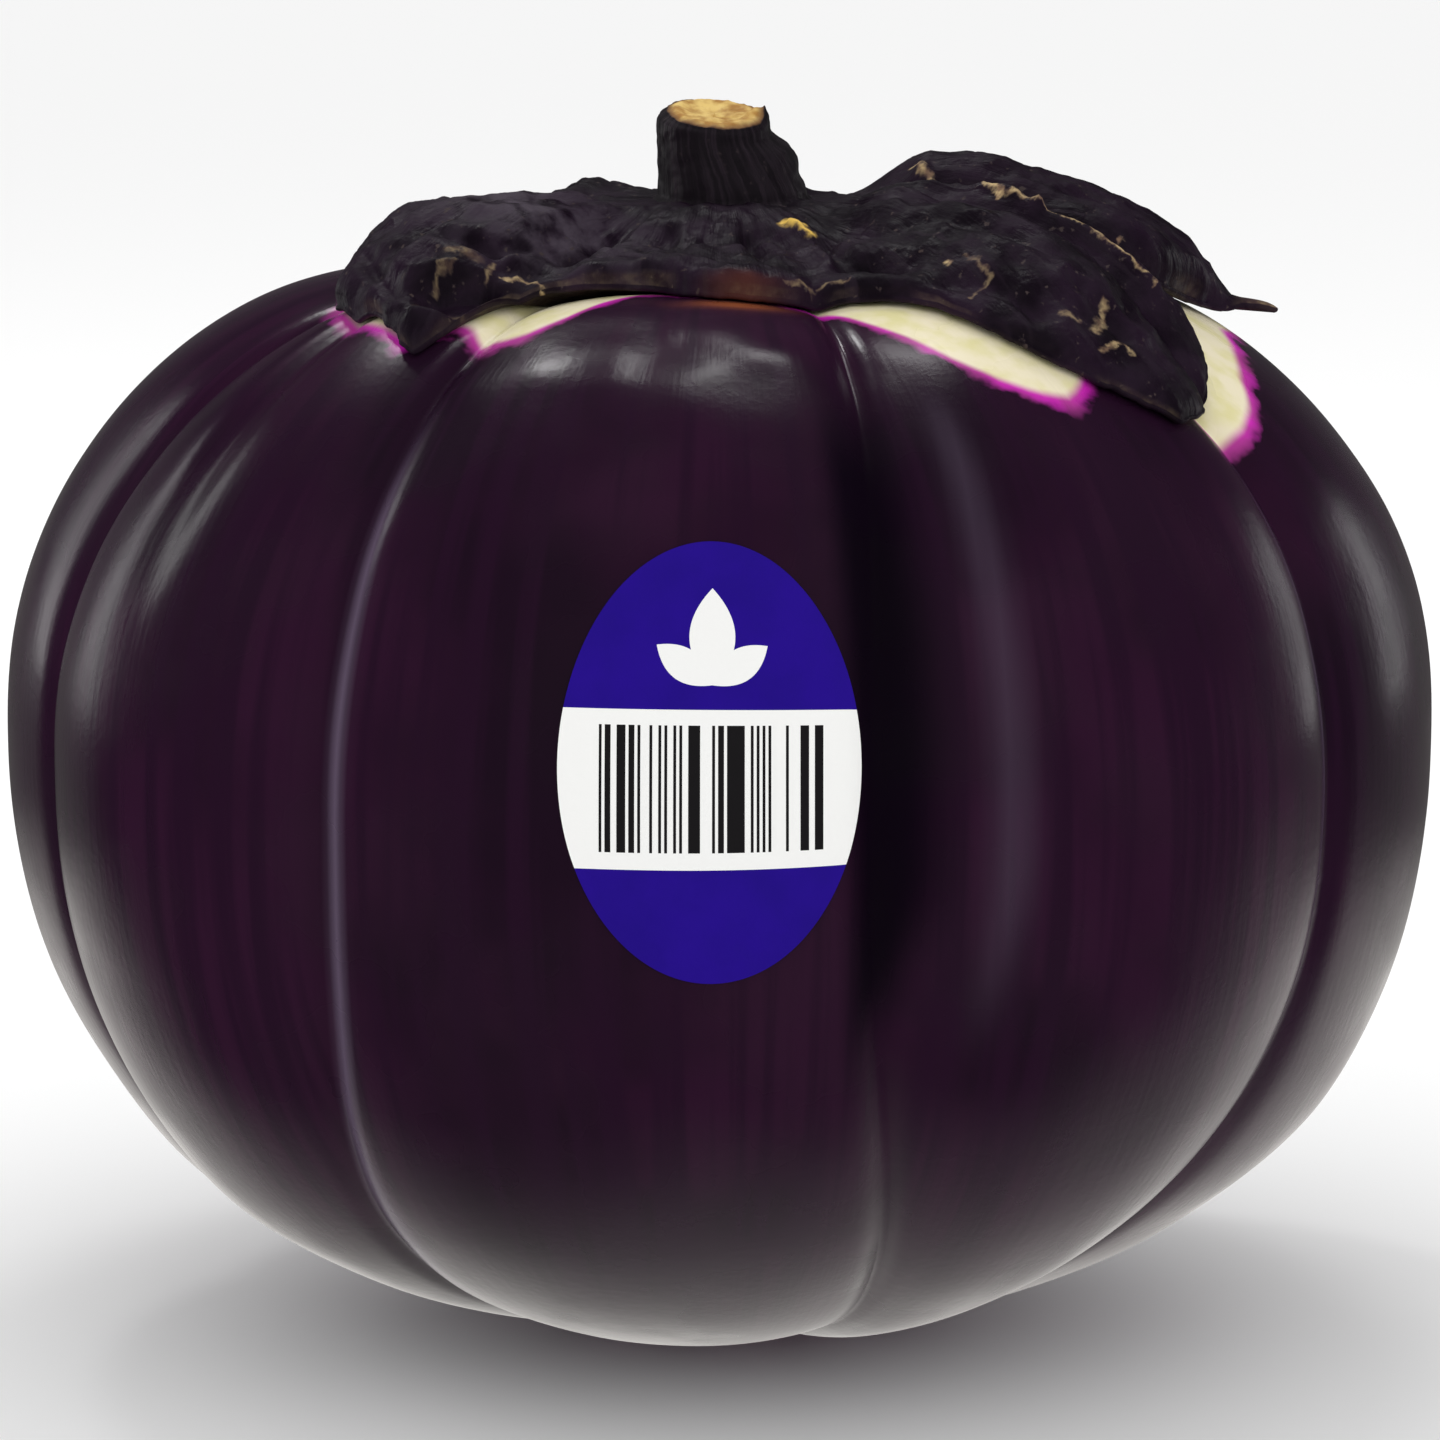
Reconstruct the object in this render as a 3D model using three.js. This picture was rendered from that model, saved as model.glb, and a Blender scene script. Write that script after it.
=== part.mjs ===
// Round ribbed eggplant: a fat, deeply ribbed fruit with the shrivelled calyx and the cut stem
// it was picked with, and an oval sticker on its front rib.
//
// Millimetres, +Z up. The fruit stands on the flat spot round its blossom end. The origin is
// on the surface it stands on, under the stem. -Y is the front, where the sticker is, and +X
// is to the right of it. Azimuths are in degrees from the front, and grow to the right.

import * as THREE from 'three';
import { ParametricGeometry } from 'three/addons/geometries/ParametricGeometry.js';

// ---- Driving dimensions ---------------------------------------------------------------

// Fruit. Its side view is two superellipses that meet at the belly, the widest level.
const fruitWidth = 150;
const fruitDepth = 147;
const bellyHeight = 62.2;
const crownRise = 57;
const roundness = 2.19;
const footPress = 1.4;
const dipDepth = 14;
const dipRadius = 29;
const scarDepth = 2.4;
const scarRadius = 7;

// Ribs. Each groove is given by its azimuth at the crown, at the belly and at the base.
const grooveDepth = 2.7;
const grooveSharpness = 2.6;
const grooveFade = 0.5;
const grooves = [
  { crown: -64, belly: -70, base: -78 },
  { crown: -33, belly: -32, base: -46 },
  { crown: 18, belly: 12, base: 24 },
  { crown: 58, belly: 58, base: 46 },
  { crown: 104, belly: 105, base: 104 },
  { crown: 151, belly: 151, base: 150 },
  { crown: 197, belly: 198, base: 198 },
  { crown: 246, belly: 244, base: 246 },
];

// Calyx. Its edge runs out along each sepal and back to the collar between two of them:
// azimuth, reach along the skin from the stem's middle, and height that it arches to.
const calyxGap = 0.5;
const calyxEdge = 1.8;
const collarHeight = 12.6;
const collarSlope = 16;
const padMargin = 1;
const calyxOutline = [
  { azimuth: -84, reach: 34, arch: 4 },
  { azimuth: -71, reach: 42, arch: 8 },
  { azimuth: -58, reach: 47.5, arch: 9.5 },
  { azimuth: -46, reach: 49.5, arch: 9 },
  { azimuth: -39, reach: 53.5, arch: 8 },
  { azimuth: -35, reach: 41, arch: 5 },
  { azimuth: -30, reach: 35, arch: 3.5 },
  { azimuth: -17, reach: 30, arch: 2.5 },
  { azimuth: 3, reach: 36, arch: 2.5 },
  { azimuth: 22, reach: 36, arch: 3 },
  { azimuth: 29, reach: 41, arch: 6 },
  { azimuth: 35, reach: 51, arch: 8 },
  { azimuth: 42, reach: 61, arch: 10 },
  { azimuth: 50, reach: 68, arch: 11.5 },
  { azimuth: 57, reach: 66.5, arch: 12 },
  { azimuth: 63, reach: 60, arch: 12 },
  { azimuth: 68, reach: 49, arch: 12 },
  { azimuth: 76, reach: 48, arch: 13 },
  { azimuth: 85, reach: 55, arch: 13 },
  { azimuth: 91, reach: 64, arch: 11 },
  { azimuth: 97, reach: 52, arch: 9 },
  { azimuth: 104, reach: 45, arch: 6 },
  { azimuth: 120, reach: 35, arch: 3 },
  { azimuth: 136, reach: 50, arch: 4 },
  { azimuth: 147, reach: 60, arch: 4 },
  { azimuth: 158, reach: 48, arch: 4 },
  { azimuth: 172, reach: 34, arch: 3 },
  { azimuth: 184, reach: 46, arch: 3.5 },
  { azimuth: 195, reach: 55, arch: 3.5 },
  { azimuth: 207, reach: 45, arch: 3.5 },
  { azimuth: 220, reach: 34, arch: 3 },
  { azimuth: 230, reach: 44, arch: 3.5 },
  { azimuth: 237, reach: 49, arch: 3.5 },
  { azimuth: 246, reach: 42, arch: 3.5 },
  { azimuth: 260, reach: 33, arch: 3.5 },
];

// Stem. It leans off its wide right-hand foot, and its cut slopes down to the front right.
const stemGap = 0.3;
const stemHeight = 8.4;
const stemFootRadius = 7.7;
const stemTopRadius = 5.8;
const stemFootOffset = 1.4;
const stemTopOffset = -0.6;
const cutRiseToBack = 0.2;
const cutDropToRight = 0.08;

// Sticker.
const stickerWidth = 29.6;
const stickerHeight = 41.4;
const stickerThickness = 0.25;
const stickerGap = 0.3;
const stickerLevel = 70.7;
const stickerAzimuth = -0.5;

// Mesh fineness.
const stepsPerRib = 8;
const fruitRings = 36;
const calyxRings = 8;
const stemSides = 28;
const stickerSides = 36;
const stickerRings = 5;

// ---- Skin -----------------------------------------------------------------------------

const { smoothstep, lerp, degToRad, euclideanModulo } = THREE.MathUtils;
const halfWidth = fruitWidth / 2;
const halfDepth = fruitDepth / 2;
const baseDrop = bellyHeight + footPress;

function grooveAzimuth(index, latitude) {
  const turns = Math.floor(index / grooves.length);
  const groove = grooves[euclideanModulo(index, grooves.length)];
  const end = latitude > 0 ? groove.crown : groove.base;
  return lerp(groove.belly, end, Math.sin(latitude) ** 2) + 360 * turns;
}

// Azimuth at a share of the way round, counted so that every rib takes the same share.
function azimuthAtShare(share, latitude) {
  const ribs = share * grooves.length;
  const rib = Math.floor(ribs);
  const start = grooveAzimuth(rib, latitude);
  const end = grooveAzimuth(rib + 1, latitude);
  return lerp(start, end, ribs - rib);
}

// How far towards its grooves a place on a rib is: 0 on the rib's crest, 1 in a groove.
function nearnessToGroove(azimuth, latitude) {
  const first = grooveAzimuth(0, latitude);
  const wrapped = first + euclideanModulo(azimuth - first, 360);
  let rib = 0;
  while (rib < grooves.length - 1 && grooveAzimuth(rib + 1, latitude) <= wrapped) rib += 1;
  const start = grooveAzimuth(rib, latitude);
  const end = grooveAzimuth(rib + 1, latitude);
  return Math.abs((2 * (wrapped - start)) / (end - start) - 1);
}

// Point on the skin and the direction out of it. Latitude runs from -PI/2 at the blossom
// end to PI/2 under the stem.
function skin(azimuth, latitude) {
  const angle = degToRad(azimuth);
  const up = Math.sign(latitude);
  const cosine = Math.max(Math.cos(latitude), 0);
  const sine = Math.abs(Math.sin(latitude));
  const rise = up > 0 ? crownRise : baseDrop;
  const spread = cosine ** (2 / roundness);
  const climb = sine ** (2 / roundness);
  const slopeOut = spread ** (roundness - 1) / halfWidth;
  const slopeUp = (up * climb ** (roundness - 1)) / rise;
  const normal = new THREE.Vector3(slopeOut * Math.sin(angle), -slopeOut * Math.cos(angle), slopeUp);
  normal.normalize();

  const radius = halfWidth * spread;
  let z = bellyHeight + up * rise * climb;
  if (up > 0) z -= dipDepth * Math.exp(-((radius / dipRadius) ** 2));
  if (up < 0) z += scarDepth * Math.exp(-((radius / scarRadius) ** 2));
  const x = halfWidth * spread * Math.sin(angle);
  const y = -halfDepth * spread * Math.cos(angle);
  const depth = grooveDepth * cosine ** grooveFade;
  const sink = depth * nearnessToGroove(azimuth, latitude) ** grooveSharpness;
  const point = new THREE.Vector3(x, y, z).addScaledVector(normal, -sink);
  point.z = Math.max(point.z, 0);
  return { point, normal };
}

function offsetSkin(azimuth, latitude, height) {
  const { point, normal } = skin(azimuth, latitude);
  return point.addScaledVector(normal, height);
}

// Latitude at a distance along the skin from the stem, and at a level above the surface.
function latitudeAtReach(reach) {
  const spread = Math.sin(reach / halfWidth);
  return Math.acos(spread ** (roundness / 2));
}

function latitudeAtLevel(level) {
  const above = level - bellyHeight;
  const rise = above > 0 ? crownRise : baseDrop;
  return Math.sign(above) * Math.asin((Math.abs(above) / rise) ** (roundness / 2));
}

// Closed body swept round an axis: columns go round, and each row is one ring or a pole.
function sweptBody(columns, rows, pointAt) {
  const place = (u, v, target) => {
    const column = Math.round(u * columns) % columns;
    target.copy(pointAt(column / columns, Math.round(v * rows)));
  };
  return new ParametricGeometry(place, columns, rows);
}

// ---- Fruit ----------------------------------------------------------------------------

function makeFruit() {
  const columns = stepsPerRib * grooves.length;
  return sweptBody(columns, fruitRings, (share, row) => {
    const latitude = -Math.PI / 2 + (Math.PI * row) / fruitRings;
    return skin(azimuthAtShare(share, latitude), latitude).point;
  });
}

// ---- Calyx ----------------------------------------------------------------------------

const crownLatitude = Math.PI / 2;
const padRadius = stemFootRadius + stemFootOffset + padMargin;
const padLevel = skin(0, crownLatitude).point.z + collarHeight;

function calyxEdgeAt(azimuth) {
  const first = calyxOutline[0].azimuth;
  const wrapped = first + euclideanModulo(azimuth - first, 360);
  let index = 0;
  while (index < calyxOutline.length - 1 && calyxOutline[index + 1].azimuth <= wrapped) index += 1;
  const here = calyxOutline[index];
  const next = calyxOutline[(index + 1) % calyxOutline.length];
  const span = euclideanModulo(next.azimuth - here.azimuth, 360);
  const share = (wrapped - here.azimuth) / span;
  return { reach: lerp(here.reach, next.reach, share), arch: lerp(here.arch, next.arch, share) };
}

function calyxTop(azimuth, latitude, reach, edge) {
  const share = (reach - padRadius) / (edge.reach - padRadius);
  const arch = lerp(edge.arch, calyxEdge, share ** 2);
  const slope = smoothstep(reach, padRadius, padRadius + collarSlope);
  const point = offsetSkin(azimuth, latitude, arch);
  point.z = lerp(padLevel, point.z, slope);
  return point;
}

function makeCalyx() {
  const columns = stepsPerRib * grooves.length * 1.5;
  const rows = 2 * calyxRings + 3;
  return sweptBody(columns, rows, (share, row) => {
    if (row === 0) return offsetSkin(0, crownLatitude, calyxGap);
    if (row === rows) return new THREE.Vector3(0, 0, padLevel);
    const under = row <= calyxRings + 1;
    const step = under ? row - 1 : rows - 1 - row;
    const azimuth = azimuthAtShare(share, crownLatitude * 0.6);
    const edge = calyxEdgeAt(azimuth);
    const reach = lerp(padRadius, edge.reach, step / calyxRings);
    const latitude = latitudeAtReach(reach);
    if (under) return offsetSkin(azimuth, latitude, calyxGap);
    return calyxTop(azimuth, latitude, reach, edge);
  });
}

// ---- Stem -----------------------------------------------------------------------------

function makeStem() {
  const foot = padLevel + stemGap;
  const levels = [0, 0.06, 0.3, 0.5, 0.7, 0.9, 1];
  const rows = levels.length + 1;
  return sweptBody(stemSides, rows, (share, row) => {
    const angle = share * 2 * Math.PI;
    const level = levels[Math.min(Math.max(row - 1, 0), levels.length - 1)];
    const taper = smoothstep(level, 0.1, 0.95);
    const pole = row === 0 || row === rows;
    const radius = pole ? 0 : lerp(stemFootRadius, stemTopRadius, taper);
    const x = lerp(stemFootOffset, stemTopOffset, taper) + radius * Math.sin(angle);
    const y = -radius * Math.cos(angle);
    const cut = (cutRiseToBack * y - cutDropToRight * x) * level;
    return new THREE.Vector3(x, y, foot + level * stemHeight + cut);
  });
}

// ---- Sticker --------------------------------------------------------------------------

function makeSticker() {
  const rows = 2 * stickerRings + 1;
  return sweptBody(stickerSides, rows, (share, row) => {
    const angle = share * 2 * Math.PI;
    const under = row <= stickerRings;
    const ring = (under ? row : rows - row) / stickerRings;
    const latitude = latitudeAtLevel(stickerLevel + (stickerHeight / 2) * ring * Math.sin(angle));
    const radius = halfWidth * Math.cos(latitude) ** (2 / roundness);
    const turn = Math.asin(((stickerWidth / 2) * ring * Math.cos(angle)) / radius);
    const azimuth = stickerAzimuth + THREE.MathUtils.radToDeg(turn);
    return offsetSkin(azimuth, latitude, stickerGap + (under ? 0 : stickerThickness));
  });
}

// ---- Assembly -------------------------------------------------------------------------

function addPiece(group, name, geometry, color, roughness) {
  const material = new THREE.MeshStandardMaterial({ color, roughness, metalness: 0 });
  const mesh = new THREE.Mesh(geometry, material);
  mesh.name = name;
  group.add(mesh);
}

const eggplant = new THREE.Group();
addPiece(eggplant, 'fruit', makeFruit(), 0x281326, 0.3);
addPiece(eggplant, 'calyx', makeCalyx(), 0x231c26, 0.7);
addPiece(eggplant, 'stem', makeStem(), 0x2c2228, 0.75);
addPiece(eggplant, 'sticker', makeSticker(), 0x2a0a8c, 0.45);

export default eggplant;
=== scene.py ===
# Round ribbed eggplant, in the order it grew and was sold: the fruit, the calyx on its crown,
# the stub of stem and the oval sticker, and then the studio it stands in. Metres, +Z up, and
# -Y to the front. Azimuths are in degrees from the front, and grow to the right.

import math

import bpy
import numpy as np
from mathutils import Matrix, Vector, noise


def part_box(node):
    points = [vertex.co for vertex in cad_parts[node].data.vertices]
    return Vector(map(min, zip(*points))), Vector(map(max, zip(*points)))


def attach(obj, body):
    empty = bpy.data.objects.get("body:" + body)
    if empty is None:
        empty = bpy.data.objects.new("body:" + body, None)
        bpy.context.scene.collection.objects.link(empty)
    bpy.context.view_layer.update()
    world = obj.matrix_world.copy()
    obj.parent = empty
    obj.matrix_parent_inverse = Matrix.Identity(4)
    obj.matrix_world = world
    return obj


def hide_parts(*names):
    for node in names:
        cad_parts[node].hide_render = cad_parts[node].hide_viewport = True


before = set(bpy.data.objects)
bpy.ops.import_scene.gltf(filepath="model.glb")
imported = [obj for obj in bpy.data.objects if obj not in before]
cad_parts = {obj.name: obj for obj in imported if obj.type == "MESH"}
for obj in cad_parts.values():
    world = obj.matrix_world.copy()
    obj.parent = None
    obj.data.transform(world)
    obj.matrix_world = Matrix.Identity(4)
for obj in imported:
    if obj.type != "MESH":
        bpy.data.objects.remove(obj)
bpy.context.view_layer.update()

# ---- Fruit -----------------------------------------------------------------------------
# One grown piece: spongy flesh under a thin waxy skin, swollen into eight ribs. It stands on
# the flat spot round its blossom end, and its crown sinks into a hollow under the stem. Skin
# that the calyx kept in the shade stayed cream, with a magenta edge where the colour begins.

MM = 0.001

fruit_low, fruit_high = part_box("fruit")
half_width = (fruit_high.x - fruit_low.x) / 2
half_depth = (fruit_high.y - fruit_low.y) / 2
belly_level = 62.2 * MM
crown_rise = 57 * MM
base_drop = belly_level + 1.4 * MM
roundness = 2.19
dip_depth = 14 * MM
dip_radius = 29 * MM
blossom_dent = 2.4 * MM
blossom_radius = 7 * MM
groove_depth = 2.7 * MM
groove_sharpness = 2.6
groove_fade = 0.5
crease_depth = 0.75 * MM
crease_width = 0.07
side_crease_depth = 1.1
side_crease_azimuth = -53
shoulder_lumps = 0.9
slow_growth = 0.3

# Where this fruit swelled or slackened: azimuth and how far round it reaches, latitude and how
# far up and down it reaches, all in degrees, and its height in mm.
swellings = (
    (-85, 24, -46, 11, 1.2),
    (74, 24, -32, 13, 1.2),
    (20, 4.5, 5, 26, -0.8),
    (-8, 3.2, 52, 12, -0.5),
)

# Each groove's azimuth at the crown, at the belly and at the base.
grooves = np.array([
    (-64, -70, -78),
    (-33, -32, -46),
    (18, 12, 24),
    (58, 58, 46),
    (104, 105, 104),
    (151, 151, 150),
    (197, 198, 198),
    (246, 244, 246),
])
ribs = len(grooves)


def groove_azimuth(index, latitude):
    """Azimuth of one groove, which leans on its way from the base to the crown."""
    crown, belly, base = grooves[index % ribs]
    end = np.where(latitude > 0, crown, base)
    return belly + (end - belly) * np.sin(latitude) ** 2 + 360 * (index // ribs)


def place_on_rib(azimuth, latitude):
    """Where a place lies across its rib: 0 on the crest, -1 and 1 in the grooves."""
    edges = np.stack([groove_azimuth(i, latitude) for i in range(ribs + 1)])
    wrapped = edges[0] + (azimuth - edges[0]) % 360
    rib = (edges[1:ribs] <= wrapped).sum(axis=0)[None]
    start = np.take_along_axis(edges, rib, 0)[0]
    end = np.take_along_axis(edges, rib + 1, 0)[0]
    return 2 * (wrapped - start) / (end - start) - 1


def smooth(value, low, high):
    """0 below low, 1 above high, and an easy curve between them."""
    share = np.clip((value - low) / (high - low), 0, 1)
    return share * share * (3 - 2 * share)


def bump(value, centre, spread):
    """1 at the centre, and near 0 from about twice the spread away from it."""
    return np.exp(-(((value - centre) / spread) ** 2))


def ripple(points, size, seed, octaves=1):
    """Smooth noise between about -1 and 1, with waves of the given size."""
    shift = Vector((seed * 7.1, seed * 3.7, seed * 5.3))
    flat = points.reshape(-1, 3) / size
    waves = [noise.fractal(Vector(p) + shift, 1.0, 2.0, octaves) for p in flat.tolist()]
    return np.array(waves).reshape(points.shape[:-1])


def bare_skin(azimuth, latitude):
    """The ribbed skin before its small unevenness: points and directions out."""
    angle = np.radians(azimuth)
    up = np.sign(latitude)
    cosine = np.clip(np.cos(latitude), 0, 1)
    rise = np.where(latitude > 0, crown_rise, base_drop)
    spread = cosine ** (2 / roundness)
    climb = np.abs(np.sin(latitude)) ** (2 / roundness)
    slope_out = spread ** (roundness - 1) / half_width
    slope_up = up * climb ** (roundness - 1) / rise
    out = np.stack([slope_out * np.sin(angle), -slope_out * np.cos(angle), slope_up], -1)
    out /= np.linalg.norm(out, axis=-1, keepdims=True)

    radius = half_width * spread
    z = belly_level + up * rise * climb
    z = z - np.where(latitude > 0, dip_depth * bump(radius, 0, dip_radius), 0)
    z = z + np.where(latitude < 0, blossom_dent * bump(radius, 0, blossom_radius), 0)
    x = radius * np.sin(angle)
    y = -half_depth * spread * np.cos(angle)
    across = np.abs(place_on_rib(azimuth, latitude))
    sink = groove_depth * cosine ** groove_fade * across ** groove_sharpness
    sink = sink + crease_depth * smooth(cosine, 0.3, 0.7) * bump(across, 1, crease_width)
    return np.stack([x, y, z], -1) - out * sink[..., None], out


def skin(azimuth, latitude):
    """The skin with its uneven growth: points and directions out."""
    points, out = bare_skin(azimuth, latitude)
    degrees = np.degrees(latitude)
    shoulder = bump(azimuth, -4, 20) * bump(degrees, 52, 9)
    height = slow_growth * ripple(points, 26 * MM, 1, 2)
    height = height + shoulder_lumps * shoulder * ripple(points, 8 * MM, 3)
    side_crease = bump(azimuth, side_crease_azimuth, 2.4) * smooth(degrees, 8, 40)
    height = height - side_crease_depth * side_crease
    for centre, round_reach, level, up_reach, rise in swellings:
        height = height + rise * bump(azimuth, centre, round_reach) * bump(degrees, level, up_reach)
    height = height * MM * smooth(np.cos(latitude), 0.05, 0.5)
    points = points + out * height[..., None]
    points[..., 2] = np.maximum(points[..., 2], 0)
    return points, out


def latitude_at_reach(reach):
    """Latitude at a distance along the skin from the middle of the crown."""
    return np.arccos(np.sin(reach / half_width) ** (roundness / 2))


def reach_at_latitude(latitude):
    """Distance along the skin from the middle of the crown, at a latitude."""
    spread = np.clip(np.cos(latitude), 0, 1) ** (2 / roundness)
    return half_width * np.arcsin(np.clip(spread, 0, 1))


def swept_mesh(name, rings, first_pole, last_pole):
    """Closed mesh from rings of points, closed at each end by a pole."""
    rows, columns = rings.shape[:2]
    points = np.concatenate([[first_pole], rings.reshape(-1, 3), [last_pole]])
    here = 1 + np.arange(rows * columns).reshape(rows, columns)
    side = np.roll(here, -1, axis=1)
    quads = np.stack([here[:-1], side[:-1], side[1:], here[1:]], -1).reshape(-1, 4)
    last = rows * columns + 1
    faces = [(0, int(b), int(a)) for a, b in zip(here[0], side[0])]
    faces += quads.tolist()
    faces += [(last, int(a), int(b)) for a, b in zip(here[-1], side[-1])]
    mesh = bpy.data.meshes.new(name)
    mesh.from_pydata(points.tolist(), [], faces)
    mesh.shade_smooth()
    made = bpy.data.objects.new(name, mesh)
    bpy.context.scene.collection.objects.link(made)
    return made


def note_on_mesh(piece, name, rings, first_pole, last_pole):
    """Stores a number for each point of a swept mesh, for its material to read."""
    values = np.concatenate([[first_pole], rings.ravel(), [last_pole]])
    layer = piece.data.attributes.new(name, "FLOAT", "POINT")
    layer.data.foreach_set("value", values.astype(np.float32))


def note_grain(piece, azimuth, along, first_pole, last_pole):
    """Stores round-and-along directions for each point, so that fibres can follow them."""
    angle = np.radians(azimuth)
    grain = np.stack([np.sin(angle), np.cos(angle), along], -1).reshape(-1, 3)
    ends = np.array([[0, 0, first_pole], [0, 0, last_pole]])
    values = np.concatenate([ends[:1], grain, ends[1:]])
    layer = piece.data.attributes.new("grain", "FLOAT_VECTOR", "POINT")
    layer.data.foreach_set("vector", values.ravel().astype(np.float32))


def shader_node(tree, kind, inputs=None, **settings):
    """Adds a shader node. Each input is a plain value or the socket that feeds it."""
    made = tree.nodes.new("ShaderNode" + kind)
    for name, value in settings.items():
        setattr(made, name, value)
    for key, value in (inputs or {}).items():
        if isinstance(value, bpy.types.NodeSocket):
            tree.links.new(value, made.inputs[key])
        else:
            made.inputs[key].default_value = value
    return made


def figure(tree, operation, *values, clamp=False):
    """The result of one sum on plain numbers or sockets."""
    inputs = dict(enumerate(values))
    return shader_node(tree, "Math", inputs, operation=operation, use_clamp=clamp).outputs[0]


def arrow(tree, operation, *values, result="Vector"):
    """The result of one sum on vectors."""
    inputs = dict(enumerate(values))
    return shader_node(tree, "VectorMath", inputs, operation=operation).outputs[result]


def colour(red, green, blue):
    """A colour as it looks on a screen, 0 to 255, as the light values that shaders take."""
    levels = [c / 255 for c in (red, green, blue)]
    light = [c / 12.92 if c <= 0.04045 else ((c + 0.055) / 1.055) ** 2.4 for c in levels]
    return (*light, 1)


def blend(tree, share, first, second):
    """Colour between first and second."""
    inputs = {"Factor": share, 6: first, 7: second}
    return shader_node(tree, "Mix", inputs, data_type="RGBA").outputs[2]


def ranged(tree, value, low, high, to_low=0, to_high=1):
    """Value moved from one range to another, with an easy curve at both ends."""
    inputs = {"Value": value, 1: low, 2: high, 3: to_low, 4: to_high}
    return shader_node(tree, "MapRange", inputs, interpolation_type="SMOOTHSTEP").outputs[0]


def noted(tree, name):
    """The number that a mesh stores under this name."""
    return shader_node(tree, "Attribute", attribute_name=name).outputs["Fac"]


def shader_group(name, inputs):
    """Starts a node group that puts out one mask. An input of None is a vector."""
    tree = bpy.data.node_groups.new(name, "ShaderNodeTree")
    for label, value in inputs.items():
        kind = "NodeSocketVector" if value is None else "NodeSocketFloat"
        socket = tree.interface.new_socket(label, in_out="INPUT", socket_type=kind)
        if value is not None:
            socket.default_value = value
    tree.interface.new_socket("Mask", in_out="OUTPUT", socket_type="NodeSocketFloat")
    return tree, tree.nodes.new("NodeGroupInput"), tree.nodes.new("NodeGroupOutput")


def make_fibre_group():
    """Streaks that run along the grain: many across, long the other way."""
    inputs = {"Grain": None, "Across": 40.0, "Along": 2.0, "Low": 0.4, "High": 0.6}
    tree, given, out = shader_group("fibre_streaks", inputs)
    across = given.outputs["Across"]
    scale = shader_node(tree, "CombineXYZ", {0: across, 1: across, 2: given.outputs["Along"]})
    stretched = arrow(tree, "MULTIPLY", given.outputs["Grain"], scale.outputs[0])
    inputs = {"Vector": stretched, "Scale": 1.0, "Detail": 3.0}
    streaks = shader_node(tree, "TexNoise", inputs)
    mask = ranged(tree, streaks.outputs[0], given.outputs["Low"], given.outputs["High"])
    tree.links.new(mask, out.inputs["Mask"])
    return tree


def make_mottle_group():
    """Soft blotches of one size, with the share that they cover set by Low and High."""
    inputs = {"Size": 5 * MM, "Low": 0.4, "High": 0.6}
    tree, given, out = shader_group("mottle", inputs)
    place = shader_node(tree, "TexCoord").outputs["Object"]
    scale = figure(tree, "DIVIDE", 1.0, given.outputs["Size"])
    inputs = {"Vector": place, "Scale": scale, "Detail": 3.0}
    blotches = shader_node(tree, "TexNoise", inputs)
    mask = ranged(tree, blotches.outputs[0], given.outputs["Low"], given.outputs["High"])
    tree.links.new(mask, out.inputs["Mask"])
    return tree


fibre_group = make_fibre_group()
mottle_group = make_mottle_group()


def fibres(tree, across, along, low, high):
    """Mask of streaks along a piece's grain."""
    grain = shader_node(tree, "Attribute", attribute_name="grain").outputs["Vector"]
    inputs = {"Grain": grain, "Across": across, "Along": along, "Low": low, "High": high}
    return shader_node(tree, "Group", inputs, node_tree=fibre_group).outputs[0]


def mottle(tree, size, low, high):
    """Mask of soft blotches of one size."""
    inputs = {"Size": size, "Low": low, "High": high}
    return shader_node(tree, "Group", inputs, node_tree=mottle_group).outputs[0]


def new_finish(name):
    """An empty material with its surface shader, for a section to fill in."""
    finish = bpy.data.materials.new(name)
    finish.use_nodes = True
    return finish, finish.node_tree, finish.node_tree.nodes["Principled BSDF"]


def complete_finish(tree, shader, surface, shine, dull, patches, relief, strength, depth):
    """Feeds a finish its colour, its shine, a roughness that varies in patches, and its relief."""
    roughness = ranged(tree, mottle(tree, patches, 0.3, 0.7), 0, 1, *dull)
    inputs = {"Strength": strength, "Distance": depth, "Height": relief}
    bumps = shader_node(tree, "Bump", inputs)
    shader.inputs["Specular IOR Level"].default_value = shine
    tree.links.new(surface, shader.inputs["Base Color"])
    tree.links.new(roughness, shader.inputs["Roughness"])
    tree.links.new(bumps.outputs[0], shader.inputs["Normal"])


# Edge of the skin that the calyx shaded: azimuth, and reach in mm along the skin.
shaded_edge = np.array([
    (-84, 33), (-72, 42), (-64, 46.5), (-55, 48.5), (-47, 50), (-40, 52), (-36.5, 46),
    (-34.5, 46.5), (-32.5, 48.3), (-29, 48.4), (-26, 47.5), (-22, 43.5), (-19, 38),
    (-14, 31.5), (-5, 30.5), (6, 31.5), (15, 34),
    (18, 37), (21, 43), (25, 50), (28, 55), (31, 59), (34.5, 62), (38, 63), (41, 61), (44, 58),
    (50, 62), (54.5, 63.5), (55.5, 70), (56.5, 72), (62, 71), (65.5, 69), (69.5, 65), (76.5, 61),
    (83.5, 58.5), (92, 60), (100, 55), (110, 48), (120, 46), (132, 53), (147, 63), (160, 52),
    (172, 45), (184, 52), (195, 59), (209, 50), (222, 42), (238, 53), (250, 44), (264, 36),
])


def round_outline(azimuth, outline):
    """A value read off a closed outline of (azimuth, value) points."""
    start = outline[0, 0]
    wrapped = start + (azimuth - start) % 360
    azimuths = np.append(outline[:, 0], start + 360)
    values = np.append(outline[:, 1], outline[0, 1])
    return np.interp(wrapped, azimuths, values)


past_all_shade = 200
deep_in_shade = -30


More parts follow.
